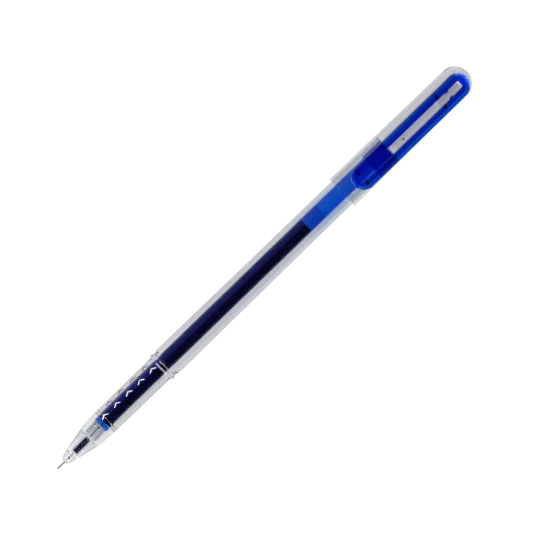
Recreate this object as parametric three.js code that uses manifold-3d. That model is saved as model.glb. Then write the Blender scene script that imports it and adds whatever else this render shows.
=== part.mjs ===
// A clear gel stick pen with its cap pushed onto the back of the barrel, in millimetres.
// +X runs along the pen from the writing ball to the cap's closed end, and +Z is up through the clip.
// Each piece is drawn with x counted from the front of the writing ball and radii from the barrel's axis.
import * as THREE from "three";
import { mergeVertices } from "three/addons/utils/BufferGeometryUtils.js";
import Module from "manifold-3d";

// Facets: each turned piece has a flat, not an edge, at its top and bottom.
const SIDES = 32;
const REFILL_SIDES = 24;
const NEEDLE_SIDES = 16;

// Room between pieces: where faces meet end to end, where rounds slide or press, and around a liquid.
const END_GAP = 0.3;
const ROUND_GAP = 0.06;
const LIQUID_GAP = 0.04;

// The writing point.
const BALL_RADIUS = 0.25;
const BALL_STANDS_OUT = 0.17;
const BALL_PLAY = 0.02;
const NEEDLE_RADIUS = 0.33;
const NEEDLE_LIP_RADIUS = 0.285;
const NEEDLE_BORE_RADIUS = 0.14;
const NEEDLE_END = 7.8;

// The tip holder: a stem with an ink chamber, a ribbed collar with a fine channel,
// and a spigot with a wide mouth that the refill tube is pushed over.
const STEM_START = 7.1;
const STEM_END = 13.6;
const STEM_RADIUS = 1.47;
const COLLAR_START = 14.9;
const COLLAR_RADIUS = 2.25;
const RIB_PITCH = 0.5;
const RIB_COUNT = 8;
const RIB_HEIGHT = 0.16;
const COLLAR_END = COLLAR_START + RIB_COUNT * RIB_PITCH;
const CHAMBER_RADIUS = 0.6;
const CHAMBER_END = 13.3;
const CHANNEL_RADIUS = 0.18;
const MOUTH_START = COLLAR_END + 1.4;
const MOUTH_END = COLLAR_END + 1.6;
const SPIGOT_END = 21.9;
const SPIGOT_WALL = 0.2;

// The refill tube and what is in it.
const TUBE_START = COLLAR_END + END_GAP;
const TUBE_END = 136.4;
const TUBE_RADIUS = 2.5;
const TUBE_BORE_RADIUS = 2.1;
const INK_END = 107.6;
const FOLLOWER_END = 114.4;

// The refill is loose in the pen: its point sits low, and its tube lies against the upper side of the bore.
const LEAN_LOW = -0.15;
const LEAN_HIGH = 0.49;
const LEAN_START = 8;
const LEAN_END = 28;
const LEAN_STEP = 2;

// The nose cone.
const NOSE_START = 3.3;
const NOSE_TIP_RADIUS = 0.8;
const NOSE_FLARE_END = 5.0;
const NOSE_FLARE_RADIUS = 1.83;
const NOSE_CONE_END = 15.5;
const NOSE_CONE_RADIUS = 4.06;
const NOSE_END = 20.6;
const NOSE_END_RADIUS = 4.31;
const NOSE_HOLE_RADIUS = 0.54;
const NOSE_STEM_BORE_RADIUS = 1.75;
const NOSE_COLLAR_BORE_RADIUS = 2.65;
const NOSE_TUBE_BORE_RADIUS = 2.9;
const NOSE_TAIL_RADIUS = 3.6;
const NOSE_TAIL_BORE_RADIUS = 3.1;
const NOSE_TAIL_END = 21.9;

// The barrel: a grip, a bead, a shoulder and a long slightly tapering tube.
const BARREL_START = NOSE_END + END_GAP;
const GRIP_FRONT_RADIUS = 4.32;
const GRIP_BACK_RADIUS = 4.45;
const GRIP_BORE_RADIUS = 3.12;
const BEAD_X = 45.6;
const BEAD_RADIUS = 5.02;
const BEAD_ROUND = 0.95;
const SHOULDER_START = 46.9;
const SHOULDER_END = 48.4;
const WAIST_RADIUS = 4.56;
const BARREL_FRONT_RADIUS = 5.01;
const BARREL_MID = 96;
const BARREL_MID_RADIUS = 4.8;
const BARREL_END = 142.9;
const BARREL_END_RADIUS = 4.74;
const BARREL_BORE_RADIUS = 3.82;
const BORE_STEP_START = 44;
const BORE_STEP_END = 44.8;

// The raised chevrons on the grip: rows of five on opposite sides, angles from the top towards +Y.
const CHEVRON_ROW_ANGLES = [29, 64, 209, 244];
const CHEVRON_ROW_STARTS = [22.3, 25.9, 22.3, 25.9];
const CHEVRONS_IN_ROW = [5, 4, 5, 4];
const CHEVRON_PITCH = 5.11;
const CHEVRON_HALF_LENGTH = 1.3;
const CHEVRON_RISE = 0.72;
const CHEVRON_STROKE = 0.36;
const CHEVRON_HEIGHT = 0.15;

// The hollow plug that closes the back of the barrel. The refill tube's end stands in the front of its bore.
const PLUG_START = 135.1;
const PLUG_STEP = 136.9;
const PLUG_WALL_START = 141.9;
const PLUG_GROOVE_START = 140.6;
const PLUG_GROOVE_END = 141.1;
const PLUG_END = 142.6;
const PLUG_RADIUS = BARREL_BORE_RADIUS - ROUND_GAP;
const PLUG_GROOVE_RADIUS = 3.3;
const PLUG_MOUTH_RADIUS = 3.15;
const PLUG_HOLLOW_RADIUS = 2.6;
const PLUG_VENT_RADIUS = 0.4;
const PLUG_ROUND = 0.6;

// The cap.
const CAP_START = 123.1;
const CAP_RING_END = 126;
const CAP_RING_RADIUS = 5.64;
const CAP_DOME_X = 171.8;
const CAP_DOME_RADIUS = 5.3;
const CAP_END = CAP_DOME_X + CAP_DOME_RADIUS;
const CAP_LIP_RADIUS = 5.08;
const CAP_SNAP_X = 124.1;
const CAP_SNAP_RADIUS = 4.85;
const CAP_BORE_FRONT_RADIUS = 4.94;
const CAP_BORE_MID_RADIUS = 4.83;
const CAP_BORE_BACK_RADIUS = 4.62;
const CAP_BORE_DOME_X = 171.3;
const GATE_X = 148.1;
const GATE_Y = -0.4;
const GATE_RADIUS = 0.25;
const GATE_TOP = 5.58;

// The clip: a flat ring with round ends whose inner edge is a deeper web. Heights are above the axis.
const CLIP_FRONT = 127.1;
const CLIP_BACK = 175.5;
const CLIP_HALF_WIDTH = 4.0;
const CLIP_TOP = 8.3;
const CLIP_FLANGE = 1.2;
const CLIP_DEPTH = 2.1;
const WEB_HALF_WIDTH = 2.7;
const SLOT_FRONT = 129.3;
const SLOT_BACK = 172.7;
const SLOT_HALF_WIDTH = 1.3;
const SLOT_CORNER = 0.6;
const SLOT_FLOOR_END = 141.3;
const SLOT_FLOOR = 0.85;
const CLIP_FLAT_START = 133;
const CLIP_FLAT_END = 167;
const FRONT_BOW = 45;
const BACK_BOW = 24;
const PEG_X = 164.3;
const FOOT_X = 130.8;
const PEG_Y = 2.05;
const PEG_SIZE_X = 0.8;
const PEG_SIZE_Y = 1.3;
const PEG_BOTTOM = 5.2;
const FOOT_BOTTOM = 5.75;
const NUB_X = 167.7;
const NUB_LENGTH = 1.4;
const NUB_HEIGHT = 0.4;

// The saddle on the cap that the clip's back end sits on, and the tongue that stands in the clip's slot.
const SADDLE_FRONT = 162.8;
const SADDLE_BACK = 173.2;
const SADDLE_HALF_WIDTH = 3.3;
const TONGUE_HALF_WIDTH = SLOT_HALF_WIDTH - END_GAP;
const TONGUE_BELOW_TOP = 0.6;
const POCKET_FLOOR = 4.9;

const wasm = await Module();
wasm.setup();

// A closed geometry as a solid that can be joined and cut.
function solidOf(geometry) {
  const bare = geometry.index ? geometry.toNonIndexed() : geometry.clone();
  bare.deleteAttribute("normal");
  bare.deleteAttribute("uv");
  const merged = mergeVertices(bare, 1e-4);
  const vertProperties = merged.attributes.position.array;
  const triVerts = new Uint32Array(merged.index.array);
  return new wasm.Manifold(new wasm.Mesh({ numProp: 3, vertProperties, triVerts }));
}

// The geometry of a solid that was joined or cut.
function geometryOf(solid) {
  const mesh = solid.getMesh();
  const geometry = new THREE.BufferGeometry();
  geometry.setAttribute("position", new THREE.BufferAttribute(mesh.vertProperties, 3));
  geometry.setIndex(new THREE.BufferAttribute(mesh.triVerts, 1));
  const flat = geometry.toNonIndexed();
  flat.computeVertexNormals();
  return flat;
}

// A named piece with its own plain material.
function piece(name, geometry, color, roughness, metalness, opacity) {
  const material = new THREE.MeshStandardMaterial({ color, roughness, metalness });
  material.opacity = opacity;
  material.transparent = opacity < 1;
  const mesh = new THREE.Mesh(geometry, material);
  mesh.name = name;
  return mesh;
}

// A solid of revolution about the pen's axis, from [x, radius] pairs.
function turned(profile, sides) {
  const points = profile.map(([x, radius]) => new THREE.Vector2(radius, x));
  return new THREE.LatheGeometry(points, sides, Math.PI / sides).rotateZ(-Math.PI / 2);
}

// [x, radius] pairs along an arc. Angles are in degrees, from the +X direction towards larger radii.
function arc(centreX, centreRadius, round, fromAngle, toAngle, steps) {
  const points = [];
  for (let i = 0; i <= steps; i += 1) {
    const angle = THREE.MathUtils.degToRad(fromAngle + ((toAngle - fromAngle) * i) / steps);
    points.push([centreX + round * Math.cos(angle), centreRadius + round * Math.sin(angle)]);
  }
  return points;
}

// How far the refill's centre line is from the axis, towards +Y.
function leanAt(x) {
  return LEAN_LOW + (LEAN_HIGH - LEAN_LOW) * THREE.MathUtils.smoothstep(x, LEAN_START, LEAN_END);
}

// The profile with points added along the leaning stretch, so that the piece can bend there.
function withLeanStations(profile) {
  const points = [profile[0]];
  for (let i = 1; i < profile.length; i += 1) {
    const [fromX, fromRadius] = profile[i - 1];
    const [toX, toRadius] = profile[i];
    const added = [];
    for (let x = LEAN_START; x <= LEAN_END; x += LEAN_STEP) {
      const share = (x - fromX) / (toX - fromX);
      if (share > 0.05 && share < 0.95) {
        added.push([x, fromRadius + (toRadius - fromRadius) * share]);
      }
    }
    points.push(...(toX < fromX ? added.reverse() : added), profile[i]);
  }
  return points;
}

// A turned piece of the refill, bent along the refill's centre line.
function turnedOnRefill(profile, sides) {
  const geometry = turned(withLeanStations(profile), sides);
  const position = geometry.attributes.position;
  for (let i = 0; i < position.count; i += 1) {
    position.setY(i, position.getY(i) + leanAt(position.getX(i)));
  }
  geometry.computeVertexNormals();
  return geometry;
}

// The plan of a shape seen from above, raised from one height to another.
function raised(shape, bottom, top) {
  const settings = { depth: top - bottom, bevelEnabled: false, curveSegments: 8 };
  return solidOf(new THREE.ExtrudeGeometry(shape, settings).translate(0, 0, bottom));
}

// The outline of a shape seen from the side, as wide as asked about the pen's middle plane.
function widened(shape, width) {
  const settings = { depth: width, bevelEnabled: false };
  const geometry = new THREE.ExtrudeGeometry(shape, settings);
  return solidOf(geometry.rotateX(Math.PI / 2).translate(0, width / 2, 0));
}

function box(fromX, toX, fromY, toY, bottom, top) {
  const geometry = new THREE.BoxGeometry(toX - fromX, toY - fromY, top - bottom);
  geometry.translate((fromX + toX) / 2, (fromY + toY) / 2, (bottom + top) / 2);
  return solidOf(geometry);
}

function writingBall() {
  const geometry = new THREE.SphereGeometry(BALL_RADIUS, NEEDLE_SIDES, NEEDLE_SIDES / 2);
  return geometry.translate(BALL_RADIUS, leanAt(0), 0);
}

function needleTube() {
  const seatRadius = BALL_RADIUS + BALL_PLAY;
  const seatEnd = 2 * BALL_RADIUS + BALL_PLAY;
  return turnedOnRefill(
    [
      [BALL_STANDS_OUT, NEEDLE_LIP_RADIUS - 0.02],
      [BALL_STANDS_OUT, NEEDLE_LIP_RADIUS],
      [seatEnd, NEEDLE_RADIUS],
      [NEEDLE_END, NEEDLE_RADIUS],
      [NEEDLE_END, NEEDLE_BORE_RADIUS],
      [seatEnd + BALL_RADIUS / 2, NEEDLE_BORE_RADIUS],
      [seatEnd, seatRadius],
      [BALL_STANDS_OUT, NEEDLE_LIP_RADIUS - 0.02],
    ],
    NEEDLE_SIDES,
  );
}

// The collar's fine ribs run round it, each with a sharp crest.
function ribs() {
  const points = [];
  for (let i = 0; i < RIB_COUNT; i += 1) {
    const x = COLLAR_START + i * RIB_PITCH;
    points.push([x, COLLAR_RADIUS - RIB_HEIGHT]);
    points.push([x + RIB_PITCH / 2, COLLAR_RADIUS]);
  }
  return points;
}

function tipHolder() {
  const spigotRadius = TUBE_BORE_RADIUS - ROUND_GAP;
  const mouthRadius = spigotRadius - SPIGOT_WALL;
  return turnedOnRefill(
    [
      [STEM_START, NEEDLE_RADIUS + ROUND_GAP],
      [STEM_START, 0.9],
      [STEM_START + 0.6, STEM_RADIUS],
      [STEM_END, STEM_RADIUS],
      [COLLAR_START - 0.3, COLLAR_RADIUS - RIB_HEIGHT],
      ...ribs(),
      [COLLAR_END, COLLAR_RADIUS - RIB_HEIGHT],
      [COLLAR_END, spigotRadius],
      [SPIGOT_END, spigotRadius],
      [SPIGOT_END, mouthRadius],
      [MOUTH_END, mouthRadius],
      [MOUTH_START, CHANNEL_RADIUS],
      [CHAMBER_END, CHANNEL_RADIUS],
      [CHAMBER_END, CHAMBER_RADIUS],
      [NEEDLE_END + END_GAP, CHAMBER_RADIUS],
      [NEEDLE_END + END_GAP, NEEDLE_RADIUS + ROUND_GAP],
      [STEM_START, NEEDLE_RADIUS + ROUND_GAP],
    ],
    REFILL_SIDES,
  );
}

function refillTube() {
  return turnedOnRefill(
    [
      [TUBE_START, TUBE_BORE_RADIUS],
      [TUBE_START, TUBE_RADIUS],
      [TUBE_END, TUBE_RADIUS],
      [TUBE_END, TUBE_BORE_RADIUS],
      [TUBE_START, TUBE_BORE_RADIUS],
    ],
    REFILL_SIDES,
  );
}

// The ink fills the holder's chamber, channel and mouth, then the tube.
function ink() {
  const chamberRadius = CHAMBER_RADIUS - LIQUID_GAP;
  const channelRadius = CHANNEL_RADIUS - LIQUID_GAP;
  const tubeRadius = TUBE_BORE_RADIUS - LIQUID_GAP;
  const mouthRadius = tubeRadius - ROUND_GAP - SPIGOT_WALL;
  return turnedOnRefill(
    [
      [NEEDLE_END + END_GAP, 0],
      [NEEDLE_END + END_GAP, chamberRadius],
      [CHAMBER_END - LIQUID_GAP, chamberRadius],
      [CHAMBER_END - LIQUID_GAP, channelRadius],
      [MOUTH_START + LIQUID_GAP, channelRadius],
      [MOUTH_END + LIQUID_GAP, mouthRadius],
      [SPIGOT_END + LIQUID_GAP, mouthRadius],
      [SPIGOT_END + LIQUID_GAP, tubeRadius],
      [INK_END, tubeRadius],
      [INK_END, 0],
    ],
    REFILL_SIDES,
  );
}

// The clear grease plug that follows the ink along the tube, with a hollow at its back.
function inkFollower() {
  const radius = TUBE_BORE_RADIUS - LIQUID_GAP;
  return turnedOnRefill(
    [
      [INK_END + LIQUID_GAP, 0],
      [INK_END + LIQUID_GAP, radius],
      [FOLLOWER_END, radius],
      [FOLLOWER_END - 0.4, radius * 0.7],
      [FOLLOWER_END - 0.6, 0],
    ],
    REFILL_SIDES,
  );
}

function noseCone() {
  return turned(
    [
      [NOSE_START, NOSE_HOLE_RADIUS],
      [NOSE_START, NOSE_TIP_RADIUS],
      [NOSE_FLARE_END, NOSE_FLARE_RADIUS],
      [NOSE_CONE_END, NOSE_CONE_RADIUS],
      [NOSE_END, NOSE_END_RADIUS],
      [NOSE_END, NOSE_TAIL_RADIUS],
      [NOSE_TAIL_END - 0.4, NOSE_TAIL_RADIUS],
      [NOSE_TAIL_END, NOSE_TAIL_RADIUS - 0.2],
      [NOSE_TAIL_END, NOSE_TAIL_BORE_RADIUS],
      [TUBE_START, NOSE_TUBE_BORE_RADIUS],
      [COLLAR_START - END_GAP - 0.3, NOSE_COLLAR_BORE_RADIUS],
      [STEM_END - END_GAP, NOSE_STEM_BORE_RADIUS],
      [STEM_START - END_GAP, NOSE_STEM_BORE_RADIUS],
      [STEM_START - END_GAP - 1.2, NOSE_HOLE_RADIUS],
      [NOSE_START, NOSE_HOLE_RADIUS],
    ],
    SIDES,
  );
}

// One chevron as a flat V whose point leads round the barrel, standing in the wall at an angle from the top.
function chevron(x, angle) {
  const shape = new THREE.Shape();
  shape.moveTo(x - CHEVRON_HALF_LENGTH, -CHEVRON_RISE / 2);
  shape.lineTo(x, CHEVRON_RISE / 2);
  shape.lineTo(x + CHEVRON_HALF_LENGTH, -CHEVRON_RISE / 2);
  shape.lineTo(x + CHEVRON_HALF_LENGTH, -CHEVRON_RISE / 2 - CHEVRON_STROKE);
  shape.lineTo(x, CHEVRON_RISE / 2 - CHEVRON_STROKE);
  shape.lineTo(x - CHEVRON_HALF_LENGTH, -CHEVRON_RISE / 2 - CHEVRON_STROKE);
  const grown = (x - BARREL_START) / (BEAD_X - BARREL_START);
  const surface = GRIP_FRONT_RADIUS + (GRIP_BACK_RADIUS - GRIP_FRONT_RADIUS) * grown;
  const settings = { depth: 0.5 + CHEVRON_HEIGHT, bevelEnabled: false };
  const geometry = new THREE.ExtrudeGeometry(shape, settings);
  geometry.translate(0, CHEVRON_STROKE / 2, surface - 0.5);
  return solidOf(geometry.rotateX(-THREE.MathUtils.degToRad(angle)));
}

function chevrons() {
  return CHEVRON_ROW_ANGLES.flatMap((angle, row) =>
    Array.from({ length: CHEVRONS_IN_ROW[row] }, (_, i) =>
      chevron(CHEVRON_ROW_STARTS[row] + i * CHEVRON_PITCH, angle),
    ),
  );
}

function barrel() {
  const socketRadius = NOSE_TAIL_RADIUS + ROUND_GAP;
  const shell = turned(
    [
      [BARREL_START, socketRadius],
      [BARREL_START, GRIP_FRONT_RADIUS],
      [BEAD_X - 1.1, GRIP_BACK_RADIUS],
      ...arc(BEAD_X, BEAD_RADIUS - BEAD_ROUND, BEAD_ROUND, 150, 32, 6),
      [SHOULDER_START, WAIST_RADIUS],
      [SHOULDER_START + 0.8, BARREL_FRONT_RADIUS - 0.08],
      [SHOULDER_END, BARREL_FRONT_RADIUS],
      [BARREL_MID, BARREL_MID_RADIUS],
      [BARREL_END - 0.3, BARREL_END_RADIUS],
      [BARREL_END, BARREL_END_RADIUS - 0.3],
      [BARREL_END, BARREL_BORE_RADIUS],
      [BORE_STEP_END, BARREL_BORE_RADIUS],
      [BORE_STEP_START, GRIP_BORE_RADIUS],
      [NOSE_TAIL_END + END_GAP, GRIP_BORE_RADIUS],
      [NOSE_TAIL_END + END_GAP, socketRadius],
      [BARREL_START, socketRadius],
    ],
    SIDES,
  );
  return geometryOf(wasm.Manifold.union([solidOf(shell), ...chevrons()]));
}

function endPlug() {
  return turned(
    [
      [PLUG_START, PLUG_MOUTH_RADIUS],
      [PLUG_START, PLUG_RADIUS - 0.2],
      [PLUG_START + 0.2, PLUG_RADIUS],
      [PLUG_GROOVE_START, PLUG_RADIUS],
      [PLUG_GROOVE_START, PLUG_GROOVE_RADIUS],
      [PLUG_GROOVE_END, PLUG_GROOVE_RADIUS],
      [PLUG_GROOVE_END, PLUG_RADIUS],
      ...arc(PLUG_END - PLUG_ROUND, PLUG_RADIUS - PLUG_ROUND, PLUG_ROUND, 90, 0, 3),
      [PLUG_END, PLUG_VENT_RADIUS],
      [PLUG_WALL_START, PLUG_VENT_RADIUS],
      [PLUG_WALL_START, PLUG_HOLLOW_RADIUS],
      [PLUG_STEP, PLUG_HOLLOW_RADIUS],
      [PLUG_STEP, PLUG_MOUTH_RADIUS],
      [PLUG_START, PLUG_MOUTH_RADIUS],
    ],
    REFILL_SIDES,
  );
}

// The height of the clip's top above the axis: flat, with its two ends bowed down.
function clipTopAt(x) {
  const beforeFlat = Math.max(0, CLIP_FLAT_START - x);
  const afterFlat = Math.max(0, x - CLIP_FLAT_END);
  return CLIP_TOP - beforeFlat ** 2 / (2 * FRONT_BOW) - afterFlat ** 2 / (2 * BACK_BOW);
}

// The height of the clip's underside: it follows the top at the back and rises at the front.
function clipUndersideAt(x, thickness) {
  const beforeFlat = Math.max(0, CLIP_FLAT_START - x);
  return clipTopAt(x) - thickness + beforeFlat ** 2 / FRONT_BOW;
}

// Places along the clip where its side view needs a point.
function clipStations() {
  const front = [CLIP_FRONT - 0.5, CLIP_FRONT + 1.5, CLIP_FRONT + 3.5, CLIP_FLAT_START];
  const back = Array.from({ length: 7 }, (_, i) => CLIP_FLAT_END + (i * 9) / 6);
  return [...front, ...back];
}

// The side view of a stretch of clip between two heights that change along it.
function sideView(stations, bottomAt, topAt) {
  const above = stations.map((x) => new THREE.Vector2(x, topAt(x)));
  const below = stations.map((x) => new THREE.Vector2(x, bottomAt(x)));
  return new THREE.Shape([...below, ...above.reverse()]);
}

// A stadium as a path: two straight sides joined by half-rounds.
function stadium(path, front, back, halfWidth) {
  path.moveTo(front + halfWidth, -halfWidth);
  path.lineTo(back - halfWidth, -halfWidth);
  path.absarc(back - halfWidth, 0, halfWidth, -Math.PI / 2, Math.PI / 2, false);
  path.lineTo(front + halfWidth, halfWidth);
  path.absarc(front + halfWidth, 0, halfWidth, Math.PI / 2, (3 * Math.PI) / 2, false);
  return path;
}

// The clip's slot: half-round at the front and nearly square at the back.
function slotPath() {
  const path = new THREE.Path();
  const round = SLOT_HALF_WIDTH;
  path.moveTo(SLOT_FRONT + round, -round);
  path.lineTo(SLOT_BACK - SLOT_CORNER, -round);
  path.absarc(SLOT_BACK - SLOT_CORNER, SLOT_CORNER - round, SLOT_CORNER, -Math.PI / 2, 0, false);
  path.absarc(SLOT_BACK - SLOT_CORNER, round - SLOT_CORNER, SLOT_CORNER, 0, Math.PI / 2, false);
  path.lineTo(SLOT_FRONT + round, round);
  path.absarc(SLOT_FRONT + round, 0, round, Math.PI / 2, (3 * Math.PI) / 2, false);
  return path;
}

// A flat ring of the clip out to a half-width, as deep as a thickness.
function clipRing(front, back, halfWidth, thickness) {
  const plan = stadium(new THREE.Shape(), front, back, halfWidth);
  plan.holes.push(slotPath());
  const side = sideView(clipStations(), (x) => clipUndersideAt(x, thickness), clipTopAt);
  return raised(plan, 0, 2 * CLIP_TOP).intersect(widened(side, 4 * CLIP_HALF_WIDTH));
}

// A square peg under each of the clip's two webs.
function pegs(x, bottom) {
  return [-PEG_Y, PEG_Y].map((y) =>
    box(x - PEG_SIZE_X / 2, x + PEG_SIZE_X / 2, y - PEG_SIZE_Y / 2, y + PEG_SIZE_Y / 2, bottom,
      CLIP_TOP - CLIP_FLANGE),
  );
}

// The two nubs that narrow the slot and hold the clip on the tongue.
function nubs() {
  const fromX = NUB_X - NUB_LENGTH / 2;
  const inner = SLOT_HALF_WIDTH - NUB_HEIGHT;
  const outer = SLOT_HALF_WIDTH + NUB_HEIGHT;
  const bottom = CLIP_TOP - CLIP_DEPTH + 0.1;
  const top = CLIP_TOP - 0.2;
  return [
    box(fromX, fromX + NUB_LENGTH, inner, outer, bottom, top),
    box(fromX, fromX + NUB_LENGTH, -outer, -inner, bottom, top),
  ];
}

// The thin floor that closes the front stretch of the slot, level with the web's underside.
function slotFloor() {
  const front = SLOT_FRONT - SLOT_HALF_WIDTH / 2;
  const halfWidth = (SLOT_HALF_WIDTH + WEB_HALF_WIDTH) / 2;
  const plan = new THREE.Shape();
  plan.moveTo(front, -halfWidth);
  plan.lineTo(SLOT_FLOOR_END, -halfWidth);
  plan.lineTo(SLOT_FLOOR_END, halfWidth);
  plan.lineTo(front, halfWidth);
  const stations = [front, CLIP_FRONT + 3.5, CLIP_FLAT_START, SLOT_FLOOR_END];
  const bottomAt = (x) => clipUndersideAt(x, CLIP_DEPTH);
  const side = sideView(stations, bottomAt, (x) => bottomAt(x) + SLOT_FLOOR);
  return raised(plan, 0, CLIP_TOP).intersect(widened(side, 4 * CLIP_HALF_WIDTH));
}

function clip() {
  const flange = clipRing(CLIP_FRONT, CLIP_BACK, CLIP_HALF_WIDTH, CLIP_FLANGE);
  const webFront = CLIP_FRONT + CLIP_HALF_WIDTH - WEB_HALF_WIDTH;
  const webBack = CLIP_BACK - CLIP_HALF_WIDTH + WEB_HALF_WIDTH;
  const web = clipRing(webFront, webBack, WEB_HALF_WIDTH, CLIP_DEPTH);
  const standing = [...pegs(PEG_X, PEG_BOTTOM), ...pegs(FOOT_X, FOOT_BOTTOM), ...nubs()];
  return geometryOf(wasm.Manifold.union([flange, web, slotFloor(), ...standing]));
}

// The pad moulded on the cap under the clip's back end, as high as the webs allow.
function saddle() {
  const plan = new THREE.Shape();
  plan.moveTo(SADDLE_FRONT, -SADDLE_HALF_WIDTH);
  plan.lineTo(SADDLE_BACK, -SADDLE_HALF_WIDTH);
  plan.lineTo(SADDLE_BACK, SADDLE_HALF_WIDTH);
  plan.lineTo(SADDLE_FRONT, SADDLE_HALF_WIDTH);
  const stations = [SADDLE_FRONT, CLIP_FLAT_END, 169, 171, SADDLE_BACK];
  const side = sideView(stations, () => 0, (x) => clipTopAt(x) - CLIP_DEPTH - END_GAP);
  return raised(plan, 0, CLIP_TOP).intersect(widened(side, 4 * SADDLE_HALF_WIDTH));
}

// The tongue that fills the slot above the saddle, with a notch on each side for the clip's nubs.
function tongue() {
  const front = SADDLE_FRONT + 0.5;
  const back = SLOT_BACK - END_GAP;
  const wide = TONGUE_HALF_WIDTH;
  const narrow = TONGUE_HALF_WIDTH - NUB_HEIGHT;
  const notchFront = NUB_X - NUB_LENGTH / 2 - END_GAP;
  const notchBack = NUB_X + NUB_LENGTH / 2 + END_GAP;
  const edge = [
    [front, wide],
    [notchFront, wide],
    [notchFront, narrow],
    [notchBack, narrow],
    [notchBack, wide],
    [back, wide],
  ];
  const oneSide = edge.map(([x, y]) => new THREE.Vector2(x, -y));
  const otherSide = edge.map(([x, y]) => new THREE.Vector2(x, y)).reverse();
  const plan = new THREE.Shape([...oneSide, ...otherSide]);
  const stations = [front, CLIP_FLAT_END, 169, 171, back];
  const side = sideView(stations, () => 0, (x) => clipTopAt(x) - TONGUE_BELOW_TOP);
  return raised(plan, 0, CLIP_TOP).intersect(widened(side, 4 * TONGUE_HALF_WIDTH));
}

// The pockets in the saddle that take the clip's pegs.
function pegPockets() {
  const reachX = PEG_SIZE_X / 2 + END_GAP;
  const reachY = PEG_SIZE_Y / 2 + END_GAP;
  return [-PEG_Y, PEG_Y].map((y) =>
    box(PEG_X - reachX, PEG_X + reachX, y - reachY, y + reachY, POCKET_FLOOR, CLIP_TOP),
  );
}

// The small pip on the top of the cap where its moulding gate was.
function gatePip() {
  const height = GATE_TOP - CAP_BORE_FRONT_RADIUS;
  const geometry = new THREE.CylinderGeometry(GATE_RADIUS, GATE_RADIUS, height, 10).rotateX(Math.PI / 2);
  return solidOf(geometry.translate(GATE_X, GATE_Y, GATE_TOP - height / 2));
}

function capShell() {
  const outside = turned(
    [
      [CAP_START, 0],
      [CAP_START, CAP_RING_RADIUS - 0.2],
      [CAP_START + 0.2, CAP_RING_RADIUS],
      [CAP_RING_END, CAP_RING_RADIUS],
      [CAP_RING_END + 0.4, CAP_RING_RADIUS - 0.04],
      ...arc(CAP_DOME_X, 0, CAP_DOME_RADIUS, 90, 0, 9),
    ],
    SIDES,
  );
  const bore = turned(
    [
      [CAP_START - 1, 0],
      [CAP_START - 1, CAP_LIP_RADIUS],
      [CAP_START, CAP_LIP_RADIUS],
      [CAP_SNAP_X - 0.3, CAP_SNAP_RADIUS],
      [CAP_SNAP_X + 0.3, CAP_SNAP_RADIUS],
      [CAP_SNAP_X + 0.7, CAP_BORE_FRONT_RADIUS],
      [BARREL_END, CAP_BORE_MID_RADIUS],
      ...arc(CAP_BORE_DOME_X, 0, CAP_BORE_BACK_RADIUS, 90, 0, 8),
    ],
    SIDES,
  );
  const body = wasm.Manifold.union([solidOf(outside), saddle(), tongue(), gatePip()]);
  const emptied = body.subtract(wasm.Manifold.union([solidOf(bore), ...pegPockets()]));
  return geometryOf(emptied);
}

const CLEAR = 0xdde1e8;
const BLUE = 0x0b3fc4;

const pen = new THREE.Group();
pen.add(piece("writing_ball", writingBall(), 0x9a9a9f, 0.2, 0.9, 1));
pen.add(piece("needle_tube", needleTube(), 0x8d8b8e, 0.3, 0.9, 1));
pen.add(piece("tip_holder", tipHolder(), 0xc4cbe0, 0.5, 0, 0.8));
pen.add(piece("refill_tube", refillTube(), 0x0f5fcc, 0.25, 0, 0.6));
pen.add(piece("ink", ink(), 0x0a0a30, 0.3, 0, 1));
pen.add(piece("ink_follower", inkFollower(), 0x0d4fb4, 0.4, 0, 0.8));
pen.add(piece("nose_cone", noseCone(), CLEAR, 0.1, 0, 0.35));
pen.add(piece("barrel", barrel(), CLEAR, 0.1, 0, 0.35));
pen.add(piece("end_plug", endPlug(), BLUE, 0.3, 0, 1));
pen.add(piece("cap_shell", capShell(), CLEAR, 0.1, 0, 0.35));
pen.add(piece("clip", clip(), BLUE, 0.15, 0, 0.8));

// The origin is under the middle of the pen, at the height of the flat that it lies on.
const LYING_HEIGHT = CAP_RING_RADIUS * Math.cos(Math.PI / SIDES);
pen.position.set(-CAP_END / 2, 0, LYING_HEIGHT);

export default pen;
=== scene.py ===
"""The gel pen's looks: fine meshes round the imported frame, materials, studio and camera."""

import math

import bmesh
import bpy
from mathutils import Matrix, Vector, noise


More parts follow.
